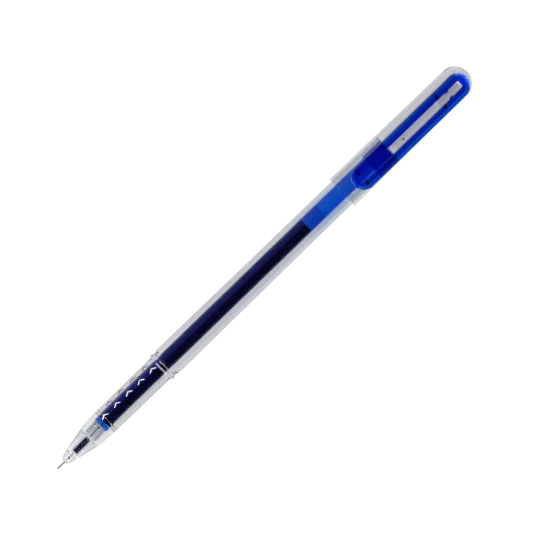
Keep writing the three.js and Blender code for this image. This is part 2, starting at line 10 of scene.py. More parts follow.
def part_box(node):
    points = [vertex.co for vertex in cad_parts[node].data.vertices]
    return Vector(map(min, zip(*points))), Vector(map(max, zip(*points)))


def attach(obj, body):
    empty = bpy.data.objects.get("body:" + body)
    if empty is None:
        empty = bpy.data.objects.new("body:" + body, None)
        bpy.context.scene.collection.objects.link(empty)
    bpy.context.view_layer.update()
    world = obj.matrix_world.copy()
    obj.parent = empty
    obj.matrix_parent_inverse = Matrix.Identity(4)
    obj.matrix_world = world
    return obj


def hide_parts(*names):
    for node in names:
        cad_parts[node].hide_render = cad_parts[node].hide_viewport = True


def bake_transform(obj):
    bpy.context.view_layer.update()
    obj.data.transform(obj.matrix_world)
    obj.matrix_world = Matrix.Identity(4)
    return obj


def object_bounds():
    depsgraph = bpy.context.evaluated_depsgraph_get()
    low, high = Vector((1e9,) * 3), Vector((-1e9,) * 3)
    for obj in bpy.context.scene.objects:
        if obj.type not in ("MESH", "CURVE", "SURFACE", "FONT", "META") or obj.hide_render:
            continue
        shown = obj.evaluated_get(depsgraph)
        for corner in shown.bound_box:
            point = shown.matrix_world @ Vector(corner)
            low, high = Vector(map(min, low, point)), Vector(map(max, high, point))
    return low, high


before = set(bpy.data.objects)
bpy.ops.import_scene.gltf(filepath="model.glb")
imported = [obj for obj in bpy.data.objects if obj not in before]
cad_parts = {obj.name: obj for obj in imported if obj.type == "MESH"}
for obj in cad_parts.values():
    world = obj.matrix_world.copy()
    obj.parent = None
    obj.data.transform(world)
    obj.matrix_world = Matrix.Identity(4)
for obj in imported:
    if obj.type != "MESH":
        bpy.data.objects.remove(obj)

cad_low, cad_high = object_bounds()

MM = 0.001
TIP = cad_low.x
AXIS_HEIGHT = sum(corner.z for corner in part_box("barrel")) / 2


def start_of(node):
    return (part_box(node)[0].x - TIP) / MM


def end_of(node):
    return (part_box(node)[1].x - TIP) / MM


# ---- the pen's own measures, in millimetres ----
# x runs from the writing ball's front, radii and heights from the barrel's axis
PRESS = 0.02                # how far press fits bite into each other
WET = 0.03                  # how far the ink and the grease reach into the walls they wet

NOSE_START = start_of("nose_cone")
NOSE_HOLE_RADIUS = 0.54
NOSE_FRONT_RADIUS = 0.78
NOSE_KNEE = (4.9, 1.80)
NOSE_SHOULDER = (15.4, 4.06)
NOSE_BACK_RADIUS = 4.315
NOSE_TAIL_END = end_of("nose_cone")
SEAM_FRONT = 20.68
SEAM_BACK = 20.72

SOCKET_RADIUS = 3.66
GRIP_FRONT_RADIUS = 4.32
GRIP_BACK_RADIUS = 4.45
GRIP_BORE = 3.12
BEAD_X = 45.6
BEAD_RADIUS = 5.02
BEAD_LENGTH = 1.3
NECK = (46.85, 4.60)        # the waist between the bead and the shoulder behind it
SHOULDER = (48.5, 5.01)
BARREL_WAIST = (96.0, 4.80)
BARREL_END_RADIUS = 4.74
BARREL_END = end_of("barrel")
BARREL_BORE = 3.82
BORE_STEP = (43.4, 46.6)    # where the bore widens from the grip's to the barrel's

CHEVRONS_END = BEAD_X - 1.2
# each row of chevrons: angle, first x, count
CHEVRON_ROWS = ((29, 22.3, 5), (64, 25.9, 4), (209, 22.3, 5), (244, 25.9, 4))
# the chevrons of these two rows carry a painted white glint on their tops
PAINTED_GLINT_ROWS = (CHEVRON_ROWS[0], CHEVRON_ROWS[2])
PAINTED_GLINT_FROM = 0.55           # the painted white glint is above this share of a chevron's height
CHEVRON_PITCH = 5.11
CHEVRON_HALF_LENGTH = 1.15
CHEVRON_RISE = 0.72
CHEVRON_STROKE = 0.34
CHEVRON_HEIGHT = 0.16
CHEVRON_REACH = 16          # degrees either side of a row that its chevrons stay within
CHEVRON_SLANT = 0.9         # a stroke's width across it, as a share of its width round the grip
GRIP_OUTSIDE = 4.2          # anything on the grip beyond this radius is its outside
GRIP_RING_STEP = 0.11
BORE_RING_STEP = 0.2

PLUG_START = start_of("end_plug")
PLUG_END = end_of("end_plug")
PLUG_RADIUS = BARREL_BORE - 0.03
PLUG_GROOVE = (140.6, 140.75, 141.0, 141.15)
PLUG_GROOVE_RADIUS = 3.3
PLUG_MOUTH_RADIUS = 3.15
PLUG_STEP = 136.9
PLUG_WALL_START = 141.9
PLUG_HOLLOW_RADIUS = 2.6
PLUG_VENT_RADIUS = 0.4

TUBE_START = start_of("refill_tube")
TUBE_END = end_of("refill_tube")
TUBE_RADIUS = 2.61
TUBE_BORE = 2.21
LEAN_LOW, LEAN_HIGH = -0.15, 0.49       # how far the refill is off the axis, front and back
LEAN_START, LEAN_END = 8.0, 28.0

STEM_START = start_of("tip_holder")
STEM_FRONT_RADIUS = 1.0
STEM_RADIUS = 1.47
STEM_END = 13.6
COLLAR_START = 14.9
COLLAR_RADIUS = 2.25
RIBS = 8
RIB_PITCH = 0.5
RIB_HEIGHT = 0.16
COLLAR_END = COLLAR_START + RIBS * RIB_PITCH
SPIGOT_BORE = 1.84
SPIGOT_END = end_of("tip_holder")
CHAMBER_RADIUS = 0.6
CHAMBER_END = 13.3
CHANNEL_RADIUS = 0.18
MOUTH_START = COLLAR_END + 1.4
MOUTH_END = COLLAR_END + 1.6

INK_START = start_of("ink")
INK_END = end_of("ink")
FOLLOWER_END = end_of("ink_follower")

NEEDLE_START = start_of("needle_tube")
NEEDLE_END = end_of("needle_tube")
NEEDLE_RADIUS = 0.33
NEEDLE_NECK_RADIUS = 0.315
NEEDLE_BORE = 0.14
SEAT_RADIUS = 0.268
BALL_RADIUS = 0.25
BALL_PIT_DEPTH = 0.004      # as a share of the ball's radius
BALL_PIT_SCALE = 24000

CAP_START = start_of("cap_shell")
CAP_END = end_of("cap_shell")
CAP_MOUTH_BORE = 4.96
CAP_RING_RADIUS = 5.64
CAP_RING_END = 126.0
CAP_SIDE_RADIUS = 5.60
CAP_DOME_RADIUS = 5.3
CAP_DOME_X = CAP_END - CAP_DOME_RADIUS
CAP_BORE_RADIUS = 4.84      # just behind the barrel's end
CAP_BORE_DOME_RADIUS = 4.62
CAP_BORE_DOME_X = 171.3
GATE = (148.1, -0.4)
GATE_RADIUS = 0.36
GATE_TOP_RADIUS = 0.32
GATE_TOP = 5.6
GATE_HEIGHT = 0.5

CLIP_FRONT = start_of("clip")
CLIP_BACK = end_of("clip")
CLIP_HALF_WIDTH = 4.0
CLIP_TOP = (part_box("clip")[1].z - AXIS_HEIGHT) / MM
CLIP_FLANGE = 1.2
CLIP_DEPTH = 2.1
CLIP_RIM_CUT = 0.42
CLIP_EDGE_CUT = 0.2
CLIP_FLAT = (133.0, 167.0)
FRONT_BOW = 45
BACK_BOW = 24
WEB_HALF_WIDTH = 2.7
SLOT_FRONT = 129.3
SLOT_BACK = 172.7
SLOT_HALF_WIDTH = 1.3
SLOT_BACK_ROUND = 1.1
SLOT_FLOOR_END = 141.3
SLOT_FLOOR = 0.85
# the back pegs and the front feet: x, and the height they reach down to
PEGS = ((164.3, 5.2), (130.8, 5.75))
PEG_Y = 2.05
PEG_SIZE = (0.4, 0.62)      # half lengths
NUB_X = (167.0, 168.4)
NUB_Y = (0.9, 1.8)
NUB_DEPTH = (1.95, 0.25)    # bottom and top, down from the clip's top

SADDLE_X = (162.92, 163.0, 163.4, *range(164, 173), 172.7, 173.1)
SADDLE_HALF_WIDTH = 3.2
SADDLE_FOOT = 4.0
SADDLE_GAP = 0.12
TONGUE_X = (163.2, 172.5)
TONGUE_HALF_WIDTH = 1.05
TONGUE_DEPTH = 0.6          # down from the clip's top
TONGUE_CUT = 0.12
NOTCH_X = 167.7
NOTCH_DEPTH = 0.42
NOTCH_HALF_LENGTH = 0.9

# ---- mesh fineness ----
ROUND = 192                 # segments round the nose and the cap
BARREL_ROUND = 252
SMALL_ROUND = 96            # and round the refill's pieces
NEEDLE_ROUND = 64
LOOP_STEPS = 48             # round each quarter of the clip
LEAN_STEP = 0.5             # the longest stretch along a leaning piece
NEEDLE_STEP = 0.2
SUPPORT = 0.03              # rings this far beside a rounding keep its neighbours straight
SHARP_ANGLE = 40
FOLD_SHARP_ANGLE = 50       # for the clip and the saddle

# ---- the studio ----
FLOOR_LIGHT = 0.955
SOFTBOX_FROM = 34           # degrees from straight up, towards +Y
SOFTBOX_EDGE = 1
SOFTBOX_LIGHT = 0.14
HOOP_FROM = 0.74            # hoop lamps at both ends: the share of direction along the pen
HOOP_TO = 0.93
HOOP_EDGE = 0.03
HOOP_LIGHT = 6.5
HORIZON = (0.02, 0.16)      # the bright horizon fades out between these heights of the direction
HORIZON_LIGHT = 0.97
ROOM_LIGHT = 0.03
LAMPS = {"lamp_front": 150, "lamp_back": 30}    # azimuths in degrees
LAMP_ELEVATION = 20
LAMP_DISTANCE = 1.2
LAMP_SIZE = (0.55, 0.30)
LAMP_WATTS = 1.5

# ---- the camera, in degrees and metres ----
CAMERA_TILT = 9.5
CAMERA_RISE = 44.08
FRAME_WIDTH = 0.1652
LENS = 400
SENSOR_WIDTH = 36
CLIP_DISTANCE = 100
AIM_ON_PEN = (0.00646, 0.00017)         # along and across the pen, from its middle
AIM_IN_FRAME = (-0.00312, -0.00351)     # right and up in the frame


# ---- mesh helpers ----
def lean_at(x):
    """How far the refill's centre line is from the axis, towards +Y."""
    share = min(1.0, max(0.0, (x - LEAN_START) / (LEAN_END - LEAN_START)))
    return LEAN_LOW + (LEAN_HIGH - LEAN_LOW) * share * share * (3 - 2 * share)


def place(x, y, z):
    """A point in the pen's own measures, as metres in the frame that CAD and MuJoCo share."""
    return Vector((TIP + x * MM, y * MM, AXIS_HEIGHT + z * MM))


def rounded(corners, closed=True, steps=4):
    """The profile of (x, radius, cut) corners, each rounded off from cut before to cut after."""
    profile = []
    count = len(corners)
    for i, (x, radius, cut) in enumerate(corners):
        here = Vector((x, radius))
        if cut == 0 or (not closed and i in (0, count - 1)):
            profile.append(here)
            continue
        before = Vector(corners[i - 1][:2]) - here
        after = Vector(corners[(i + 1) % count][:2]) - here
        start = here + before.normalized() * min(cut, before.length * 0.45)
        end = here + after.normalized() * min(cut, after.length * 0.45)
        profile.append(start + before.normalized() * min(SUPPORT, before.length * 0.04))
        for k in range(steps + 1):
            t = k / steps
            profile.append(start.lerp(here, t).lerp(here.lerp(end, t), t))
        profile.append(end + after.normalized() * min(SUPPORT, after.length * 0.04))
    return profile


def swell(from_x, from_radius, to_x, to_radius, steps=8):
    """Corners along a smooth rise or fall between two radii."""
    corners = []
    for k in range(steps + 1):
        share = (1 - math.cos(math.pi * k / steps)) / 2
        x = from_x + (to_x - from_x) * k / steps
        corners.append((x, from_radius + (to_radius - from_radius) * share, 0))
    return corners


def dome(middle_x, radius, degrees):
    """Corners round a domed end, at angles from its side towards its tip."""
    turns = [math.radians(a) for a in degrees]
    return [(middle_x + radius * math.sin(a), radius * math.cos(a), 0) for a in turns]


def divided(profile, from_x, to_x, step, closed=True):
    """The profile with its long stretches inside from_x to to_x cut to at most step."""
    points = []
    last = len(profile) if closed else len(profile) - 1
    for i in range(last):
        a, b = profile[i], profile[(i + 1) % len(profile)]
        points.append(a)
        inside = min(a.x, b.x) < to_x and max(a.x, b.x) > from_x
        pieces = math.ceil(abs(b.x - a.x) / step) if inside else 1
        points.extend(a.lerp(b, k / pieces) for k in range(1, pieces))
    if not closed:
        points.append(profile[-1])
    return points


def finish_mesh(name, bm, sharp=SHARP_ANGLE):
    """The object made from bm, smooth but for edges over the sharp angle."""
    bmesh.ops.recalc_face_normals(bm, faces=bm.faces)
    mesh = bpy.data.meshes.new(name)
    bm.to_mesh(mesh)
    bm.free()
    mesh.shade_smooth()
    mesh.set_sharp_from_angle(angle=math.radians(sharp))
    piece = bpy.data.objects.new(name, mesh)
    bpy.context.scene.collection.objects.link(piece)
    return piece


def turned(name, profile, segments, closed=True, leaning=False, relief=None):
    """A piece turned about the axis from a profile.
    relief(x, radius, angle) adds to the radius, with angles from the top towards +Y."""
    bm = bmesh.new()
    rings = []
    for point in profile:
        centre_y = lean_at(point.x) if leaning else 0.0
        if point.y < 1e-6:
            rings.append([bm.verts.new(place(point.x, centre_y, 0))])
            continue
        ring = []
        for k in range(segments):
            angle = 2 * math.pi * k / segments
            radius = point.y + (relief(point.x, point.y, angle) if relief else 0.0)
            y, z = centre_y + radius * math.sin(angle), radius * math.cos(angle)
            ring.append(bm.verts.new(place(point.x, y, z)))
        rings.append(ring)
    pairs = list(zip(rings, rings[1:]))
    if closed:
        pairs.append((rings[-1], rings[0]))
    for a, b in pairs:
        for k in range(segments):
            n = (k + 1) % segments
            if len(a) == 1 and len(b) > 1:
                bm.faces.new((a[0], b[n], b[k]))
            elif len(b) == 1 and len(a) > 1:
                bm.faces.new((a[k], a[n], b[0]))
            elif len(a) > 1:
                bm.faces.new((a[k], a[n], b[n], b[k]))
    return finish_mesh(name, bm)


def skinned(name, rows, around=False, sharp=SHARP_ANGLE):
    """A piece skinned over rows of points, closed round as a ring or capped at both ends."""
    bm = bmesh.new()
    rings = [[bm.verts.new(place(*point)) for point in row] for row in rows]
    pairs = list(zip(rings, rings[1:]))
    if around:
        pairs.append((rings[-1], rings[0]))
    else:
        bm.faces.new(rings[0])
        bm.faces.new(list(reversed(rings[-1])))
    for a, b in pairs:
        for k in range(len(a)):
            n = (k + 1) % len(a)
            bm.faces.new((a[k], b[k], b[n], a[n]))
    return finish_mesh(name, bm, sharp)


def joined(target, tools):
    """The target with each tool joined to it."""
    for tool in tools:
        modifier = target.modifiers.new("join", "BOOLEAN")
        modifier.operation = "UNION"
        modifier.solver = "EXACT"
        modifier.object = tool
        depsgraph = bpy.context.evaluated_depsgraph_get()
        mesh = bpy.data.meshes.new_from_object(target.evaluated_get(depsgraph))
        target.modifiers.clear()
        target.data = mesh
        bpy.data.objects.remove(tool)
    target.data.shade_smooth()
    target.data.set_sharp_from_angle(angle=math.radians(SHARP_ANGLE))
    return target


def rounded_box(name, low, high, cut):
    """A box between two corners with rounded edges, in the pen's own measures."""
    bm = bmesh.new()
    bmesh.ops.create_cube(bm, size=1)
    size = [b - a for a, b in zip(low, high)]
    centre = place(*[(a + b) / 2 for a, b in zip(low, high)])
    bmesh.ops.scale(bm, vec=Vector(size) * MM, verts=bm.verts)
    bmesh.ops.translate(bm, vec=centre, verts=bm.verts)
    bmesh.ops.bevel(bm, geom=bm.edges[:], offset=cut * MM, segments=3, profile=0.5, affect="EDGES")
    return finish_mesh(name, bm)


# ---- material helpers ----
class Nodes:
    """A node tree, built one call at a time."""

    def __init__(self, tree):
        self.tree = tree

    def add(self, kind, **settings):
        node = self.tree.nodes.new(kind)
        for key, value in settings.items():
            setattr(node, key, value)
        return node

    def put(self, socket, value):
        if isinstance(value, bpy.types.NodeSocket):
            self.tree.links.new(value, socket)
        else:
            socket.default_value = value

    def between(self, factor, low, high, from_low=0.3, from_high=0.7, interpolation="LINEAR"):
        """From low to high as the factor goes from from_low to from_high."""
        node = self.add("ShaderNodeMapRange", interpolation_type=interpolation)
        self.put(node.inputs["Value"], factor)
        self.put(node.inputs["From Min"], from_low)
        self.put(node.inputs["From Max"], from_high)
        self.put(node.inputs["To Min"], low)
        self.put(node.inputs["To Max"], high)
        return node.outputs["Result"]

    def maths(self, operation, *values):
        node = self.add("ShaderNodeMath", operation=operation)
        for socket, value in zip(node.inputs, values):
            self.put(socket, value)
        return node.outputs[0]


class Maker(Nodes):
    """A material's nodes."""

    def __init__(self, name):
        self.material = bpy.data.materials.new(name)
        self.material.use_nodes = True
        super().__init__(self.material.node_tree)
        self.shader = self.tree.nodes["Principled BSDF"]
        self.output = self.tree.nodes["Material Output"]
        self.place = self.add("ShaderNodeTexCoord").outputs["Object"]

    def set(self, **values):
        """Fills the shader's sockets, whose names have a space for each underscore."""
        for key, value in values.items():
            self.put(self.shader.inputs[key.replace("_", " ")], value)

    def grain(self, along, across, detail=4.0, rough=0.55):
        """Noise with features of 1/along metres along the pen and 1/across metres across it."""
        stretch = self.add("ShaderNodeMapping")
        self.put(stretch.inputs["Vector"], self.place)
        self.put(stretch.inputs["Scale"], (along, across, across))
        node = self.add("ShaderNodeTexNoise")
        self.put(node.inputs["Vector"], stretch.outputs["Vector"])
        self.put(node.inputs["Scale"], 1.0)
        self.put(node.inputs["Detail"], detail)
        self.put(node.inputs["Roughness"], rough)
        return node.outputs["Fac"]

    def along(self, axis, start, end, low=0, high=1, either_side=False):
        """From low to high as the pen's own x, y or z, or its distance to either side, runs
        from start to end."""
        parts = self.add("ShaderNodeSeparateXYZ")
        self.put(parts.inputs[0], self.place)
        value = parts.outputs[axis]
        if either_side:
            value = self.maths("ABSOLUTE", value)
        origin = {"X": TIP, "Y": 0, "Z": AXIS_HEIGHT}[axis]
        return self.between(value, low, high, origin + start * MM, origin + end * MM)

    def mixed(self, factor, first, second):
        """From the first colour to the second. Each is a socket or three numbers."""
        node = self.add("ShaderNodeMix", data_type="RGBA")
        self.put(node.inputs[0], factor)
        for socket, color in zip(node.inputs[6:8], (first, second)):
            self.put(socket, color if isinstance(color, bpy.types.NodeSocket) else (*color, 1))
        return node.outputs[2]

    def bump(self, height, distance, normal=None):
        node = self.add("ShaderNodeBump")
        self.put(node.inputs["Height"], height)
        self.put(node.inputs["Strength"], 1.0)
        self.put(node.inputs["Distance"], distance)
        if normal:
            self.put(node.inputs["Normal"], normal)
        return node.outputs["Normal"]

    def absorb(self, color, density):
        node = self.add("ShaderNodeVolumeAbsorption")
        self.put(node.inputs["Color"], (*color, 1))
        self.put(node.inputs["Density"], density)
        self.put(self.output.inputs["Volume"], node.outputs["Volume"])


# ---- materials ----
def clear_plastic(name, tint, tint_worn, gloom, painted_light=None):
    """Clear polished polystyrene: faint flow waves from moulding and long hairline scratches.
    A function (m, color) given as the last argument paints light and shade into the colour."""
    m = Maker(name)
    flow = m.grain(60, 220, 2)
    hairlines = m.grain(300, 9000, 3, 0.7)
    dust = m.grain(2600, 2600, 5, 0.6)
    color = m.mixed(m.between(flow, 0, 1), tint, tint_worn)
    m.set(
        Base_Color=painted_light(m, color) if painted_light else color,
        Roughness=m.between(dust, 0.015, 0.06, 0.35, 0.75),
        Transmission_Weight=1.0,
        IOR=1.5,
        Normal=m.bump(hairlines, 0.0000012, m.bump(flow, 0.00004)),
    )
    m.absorb((0.0, 0.02, 0.10), gloom)
    return m.material


def cap_painted_shade(m, color):
    """Painted shade greys the cap behind the barrel, most under the clip's slot, and darkens it at
    its rims. The saddle and the tongue are left clear."""
    under_slot = m.along("Y", 1.6, 2.6, either_side=True)
    # painted shade: darker under the clip's slot than beside it
    painted_roof_shade = m.mixed(under_slot, (0.69, 0.70, 0.75), (0.78, 0.785, 0.81))
    saddle = m.maths("MULTIPLY", m.along("X", 162.4, 163.4), m.along("Z", 4.2, 4.9))
    color = m.mixed(m.along("X", 137, 145), color, painted_roof_shade)
    color = m.mixed(saddle, color, (0.95, 0.95, 0.97))
    return m.mixed(m.along("Y", 4.6, 5.1, either_side=True), color, (0.66, 0.67, 0.71))


def barrel_painted_light(m, color):
    """Painted shade greys the barrel slowly towards the back and at its rims. A painted blue
    glow from the refill lies where no ink hides it, a little less inside the cap."""
    # painted shade along the barrel's rims
    rim = m.maths("MULTIPLY", m.along("Y", 3.5, 4.5, either_side=True), m.along("X", 50, 70))
    color = m.mixed(m.along("X", 52, 92), color, (0.885, 0.885, 0.91))
    color = m.mixed(rim, color, (0.80, 0.81, 0.85))
    color = m.mixed(m.along("X", 103, 112), color, (0.72, 0.80, 0.90))
    return m.mixed(m.along("X", 121.5, 124), color, (0.83, 0.91, 0.98))


def blue_plastic(name, tint, tint_worn, density):
    """Deep blue translucent moulding that darkens with thickness."""
    m = Maker(name)
    flow = m.grain(90, 300, 3)
    scuffs = m.grain(700, 5000, 4, 0.65)
    m.set(
        Base_Color=m.mixed(m.between(flow, 0, 1), tint, tint_worn),
        Roughness=m.between(scuffs, 0.03, 0.13),
        Transmission_Weight=1.0,
        IOR=1.49,
        Normal=m.bump(scuffs, 0.0000015, m.bump(flow, 0.00003)),
    )
    m.absorb((0.0, 0.61, 0.97), density)
    return m.material


def tube_plastic():
    """The refill's blue extruded tube, with fine lines along it from the die."""
    m = Maker("tube_plastic")
    die = m.grain(12, 5200, 3, 0.6)
    flow = m.grain(50, 500, 3)
    m.set(
        Base_Color=m.mixed(m.between(flow, 0, 1), (0.88, 0.97, 1.0), (0.80, 0.93, 1.0)),
        Roughness=m.between(die, 0.03, 0.12),
        Transmission_Weight=1.0,
        IOR=1.30,
        Normal=m.bump(die, 0.000002),
    )
    m.absorb((0.0, 0.70, 0.995), 6500)
    return m.material


def painted_glint_plastic():
    """Painted highlight: matte white on the tops of two rows of chevrons, for the light they
    catch.
    """
    m = Maker("painted_glint_plastic")
    grain = m.grain(6000, 6000, 4, 0.6)
    glint_patches = m.grain(900, 900, 3, 0.6)
    m.set(
        Base_Color=m.mixed(m.between(glint_patches, 0, 1), (0.97, 0.98, 1.0), (1.0, 1.0, 1.0)),
        Roughness=m.between(grain, 0.4, 0.6),
        IOR=1.5,
        Normal=m.bump(grain, 0.000006),
    )
    return m.material


def painted_peg_shade():
    """Painted shade on the lower end of a peg: nearly black, where little light comes back through
    it.
    """
    m = Maker("painted_peg_shade")
    shade_mottle = m.grain(3000, 3000, 3, 0.7)
    m.set(
        Base_Color=m.mixed(m.between(shade_mottle, 0, 1), (0.0, 0.002, 0.03), (0.002, 0.006, 0.08)),
        Roughness=m.between(shade_mottle, 0.5, 0.8),
        Normal=m.bump(shade_mottle, 0.00001),
    )
    return m.material


def gate_scar():
    """The torn gate pip: rough, and painted nearly black."""
    m = Maker("gate_scar")
    torn = m.grain(9000, 9000, 4, 0.7)
    m.set(
        Base_Color=m.mixed(m.between(torn, 0, 1), (0.004, 0.004, 0.02), (0.02, 0.02, 0.05)),
        Roughness=m.between(torn, 0.6, 0.85),
        Normal=m.bump(torn, 0.00001),
    )
    return m.material


def gel_ink():
    """Opaque gel ink, nearly black, with slow streaks of pigment. Painted light makes its +Y side
    bluer, most under the grip."""
    m = Maker("gel_ink")
    streaks = m.grain(35, 900, 5, 0.6)
    deep = m.mixed(m.between(streaks, 0, 1), (0.001, 0.003, 0.085), (0.002, 0.005, 0.13))
    painted_lit_side = m.mixed(m.along("X", 44, 48, 1, 0), (0.008, 0.026, 0.36), (0.05, 0.06, 0.62))
    m.set(
        Base_Color=m.mixed(m.along("Y", 0.95, 1.2), deep, painted_lit_side),
        Roughness=m.between(streaks, 0.06, 0.14),
        IOR=1.4,
        Normal=m.bump(streaks, 0.000004),
    )
    return m.material


def grease():
    """The follower: clear grease, a little cloudy, stained by the ink it follows."""
    m = Maker("grease")
    cloud = m.grain(500, 900, 5, 0.6)
    m.set(
        Base_Color=m.mixed(m.between(cloud, 0, 1), (0.50, 0.72, 0.98), (0.62, 0.80, 1.0)),
        Roughness=m.between(cloud, 0.05, 0.3),
        Transmission_Weight=0.9,
        IOR=1.45,
        Normal=m.bump(cloud, 0.00001),
    )
    return m.material


def milky_plastic():
    """Undyed polypropylene: milky and lit from inside, with a polished stem and a dull collar.
    Its faint blue is painted blue light from the refill.
    """
    m = Maker("milky_plastic")
    cloud = m.grain(800, 1500, 4, 0.6)
    fine = m.grain(9000, 9000, 3, 0.6)
    m.set(
        Base_Color=m.mixed(m.between(cloud, 0, 1), (0.88, 0.92, 1.0), (0.95, 0.97, 1.0)),
        Roughness=m.along("X", STEM_END, COLLAR_START, 0.05, 0.24),
        Transmission_Weight=0.96,
        IOR=1.49,
        Normal=m.bump(fine, 0.000004, m.bump(cloud, 0.00001)),
    )
    return m.material


def drawn_steel():
    """Bright drawn stainless tube with lines round it from turning, a little stained."""
    m = Maker("drawn_steel")
    lines = m.grain(2200, 700, 3, 0.6)
    stain = m.grain(400, 900, 3, 0.6)
    m.set(
        Base_Color=m.mixed(m.between(stain, 0, 1), (0.90, 0.89, 0.88), (0.78, 0.76, 0.75)),
        Metallic=1.0,
        Roughness=m.between(lines, 0.32, 0.5),
        Normal=m.bump(lines, 0.000001),
    )
    return m.material


def ground_ball():
    """The ground carbide ball, with a bloom of fine pits that carry the ink."""
    m = Maker("ground_ball")
    pits = m.grain(30000, 30000, 3, 0.6)
    m.set(
        Base_Color=m.mixed(m.between(pits, 0, 1), (0.46, 0.46, 0.50), (0.58, 0.58, 0.60)),
        Metallic=1.0,
        Roughness=m.between(pits, 0.15, 0.4),
        Normal=m.bump(pits, 0.000002),
    )
    return m.material


# ---- the nose cone and the barrel ----
def make_nose_cone():
    corners = [
        (NOSE_START, NOSE_HOLE_RADIUS, 0.06),
        (NOSE_START, NOSE_FRONT_RADIUS, 0.12),
        (*NOSE_KNEE, 0.5),
        (*NOSE_SHOULDER, 1.6),
        (SEAM_FRONT, NOSE_BACK_RADIUS, 0.08),
        (SEAM_FRONT, SOCKET_RADIUS + PRESS, 0),
        (NOSE_TAIL_END, SOCKET_RADIUS + PRESS, 0),
        (NOSE_TAIL_END, GRIP_BORE, 0),
        (COLLAR_END + 0.3, 2.90, 1.2),          # the bore round the collar
        (COLLAR_START - 0.6, 2.62, 0.9),
        (STEM_END - 0.3, 1.75, 0.9),            # the bore round the stem
        (STEM_START - 0.3, 1.72, 0.8),
        (STEM_START - 1.5, NOSE_HOLE_RADIUS, 0.6),
    ]
    return turned("nose_cone_clear", rounded(corners), ROUND)


def chevron_relief(x, radius, angle, rows=CHEVRON_ROWS):
    """How far the grip's chevrons stand out at a place on the barrel's outside."""
    if radius < GRIP_OUTSIDE or x > CHEVRONS_END:
        return 0.0
    height = 0.0
    for row_angle, first, count in rows:
        across = (math.degrees(angle) - row_angle + 180) % 360 - 180
        if abs(across) > CHEVRON_REACH:
            continue
        arc_length = math.radians(across) * radius
        i = min(count - 1, max(0, round((x - first) / CHEVRON_PITCH)))
        along = abs(x - first - i * CHEVRON_PITCH)
        over = max(0.0, along - CHEVRON_HALF_LENGTH)
        share = min(along, CHEVRON_HALF_LENGTH) / CHEVRON_HALF_LENGTH
        stroke_at = CHEVRON_RISE / 2 - CHEVRON_RISE * share
        away = math.hypot(arc_length - stroke_at, over) * CHEVRON_SLANT
        height = max(height, CHEVRON_HEIGHT * math.exp(-((away / (CHEVRON_STROKE / 2)) ** 4)))
    return height


def on_painted_glint(point):
    """Whether a point in metres is on the top of a chevron where the white glint is painted."""
    x, y, z = (point.x - TIP) / MM, point.y / MM, (point.z - AXIS_HEIGHT) / MM
    relief = chevron_relief(x, math.hypot(y, z), math.atan2(y, z) % (2 * math.pi), PAINTED_GLINT_ROWS)
    return relief > PAINTED_GLINT_FROM * CHEVRON_HEIGHT


def make_barrel():
    corners = [
        (SEAM_BACK, SOCKET_RADIUS, 0),
        (SEAM_BACK, GRIP_FRONT_RADIUS, 0.08),
        *swell(BEAD_X - BEAD_LENGTH, GRIP_BACK_RADIUS, BEAD_X, BEAD_RADIUS),
        *swell(BEAD_X, BEAD_RADIUS, *NECK)[1:],
        *swell(*NECK, *SHOULDER)[1:],
        (*BARREL_WAIST, 6),
        (BARREL_END, BARREL_END_RADIUS, 0.25),
        (BARREL_END, BARREL_BORE, 0.15),
        (BORE_STEP[1], BARREL_BORE, 0.9),
        (BORE_STEP[0], GRIP_BORE, 0.9),
        (NOSE_TAIL_END - PRESS, GRIP_BORE, 0),
        (NOSE_TAIL_END - PRESS, SOCKET_RADIUS, 0),
    ]
    profile = []
    for point in divided(rounded(corners), SEAM_BACK + 0.2, CHEVRONS_END, GRIP_RING_STEP):
        in_grip_bore = point.y < GRIP_OUTSIDE and point.x <= 46
        if in_grip_bore and profile and abs(point.x - profile[-1].x) < BORE_RING_STEP:
            continue        # the bore is plain, so it needs fewer rings than the chevrons
        profile.append(point)
    return turned("barrel_clear", profile, BARREL_ROUND, relief=chevron_relief)


def make_end_plug():
    groove_start, groove_floor_start, groove_floor_end, groove_end = PLUG_GROOVE
    corners = [
        (PLUG_START, PLUG_MOUTH_RADIUS, 0.1),
        (PLUG_START, PLUG_RADIUS, 0.3),
        (groove_start, PLUG_RADIUS, 0.12),
        (groove_floor_start, PLUG_GROOVE_RADIUS, 0.1),
        (groove_floor_end, PLUG_GROOVE_RADIUS, 0.1),
        (groove_end, PLUG_RADIUS, 0.12),
        (PLUG_END, PLUG_RADIUS, 0.9),
        (PLUG_END, PLUG_VENT_RADIUS, 0.12),
        (PLUG_WALL_START, PLUG_VENT_RADIUS, 0.1),
        (PLUG_WALL_START, PLUG_HOLLOW_RADIUS, 0.4),
        (PLUG_STEP, PLUG_HOLLOW_RADIUS, 0.08),
        (PLUG_STEP, PLUG_MOUTH_RADIUS, 0.08),
    ]
    return turned("end_plug_blue", rounded(corners), SMALL_ROUND * 2)


# ---- the refill ----
def make_refill_tube():
    corners = [
        (TUBE_START, TUBE_BORE, 0.06),
        (TUBE_START, TUBE_RADIUS, 0.12),
        (TUBE_END, TUBE_RADIUS, 0.05),
        (TUBE_END, TUBE_BORE, 0.05),
    ]
    profile = divided(rounded(corners), TUBE_START, LEAN_END, LEAN_STEP)
    return turned("refill_tube_blue", profile, SMALL_ROUND * 2, leaning=True)


